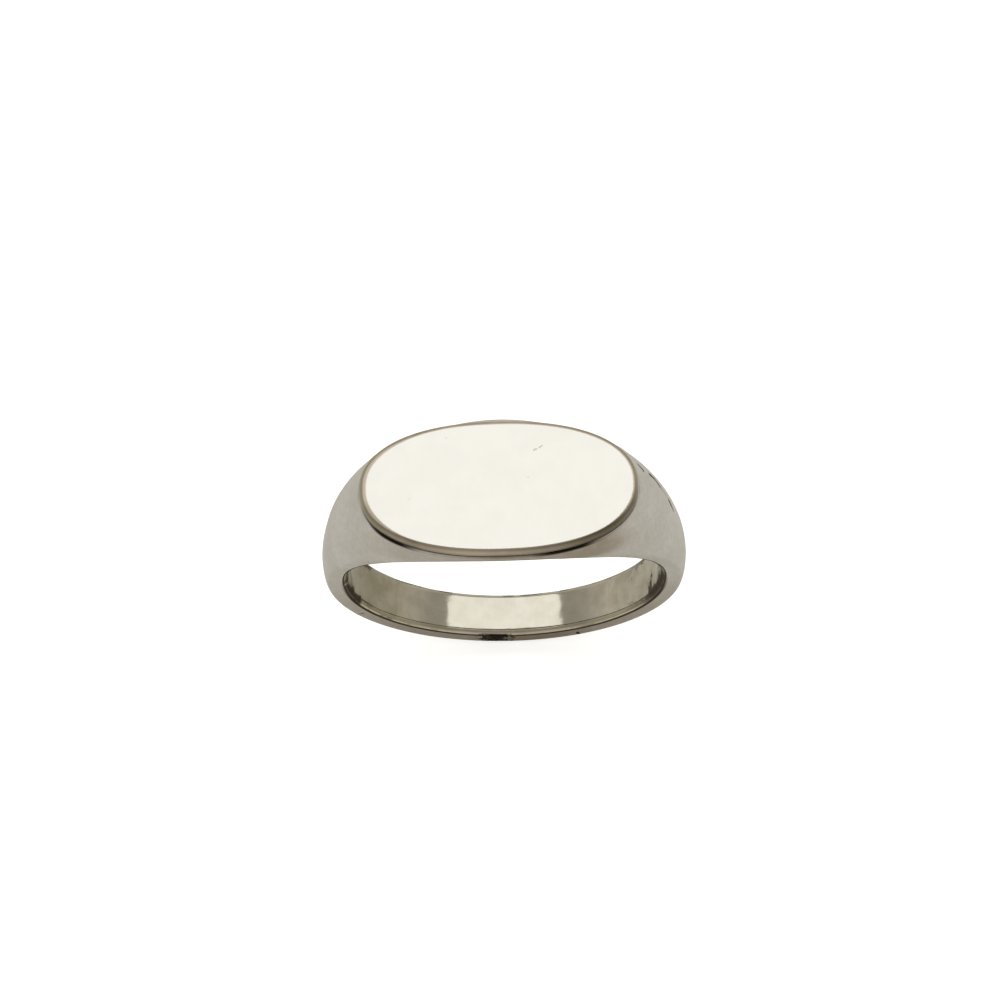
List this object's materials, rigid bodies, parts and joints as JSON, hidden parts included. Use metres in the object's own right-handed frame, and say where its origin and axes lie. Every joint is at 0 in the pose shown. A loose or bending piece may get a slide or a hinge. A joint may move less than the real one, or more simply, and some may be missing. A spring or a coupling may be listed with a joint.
{
  "type": "signet ring",
  "caption": "Finger ring with a plain oval signet face soldered across widened shoulders on a tapering rounded band.",
  "frame": {"origin": "centre of the finger bore, half way along its length", "axes": "+Y along the finger bore, +Z from the bore's centre up to the signet face, +X along the long axis of the oval face"},
  "size_m": [0.0212, 0.0086, 0.0211],
  "materials": {
    "satin_silver": "satin silver, finely brushed, with a polished bore",
    "solder_seam": "silver solder, a little darker and pitted",
    "seat_solder": "silver solder, tarnished dark in the seam",
    "polished_silver": "polished silver with fine wear marks"
  },
  "bodies": {
    "root": {"shank": "satin_silver", "palm_seam": "solder_seam", "seat_solder": "seat_solder", "signet_plate": "polished_silver"}
  },
  "joints": []
}
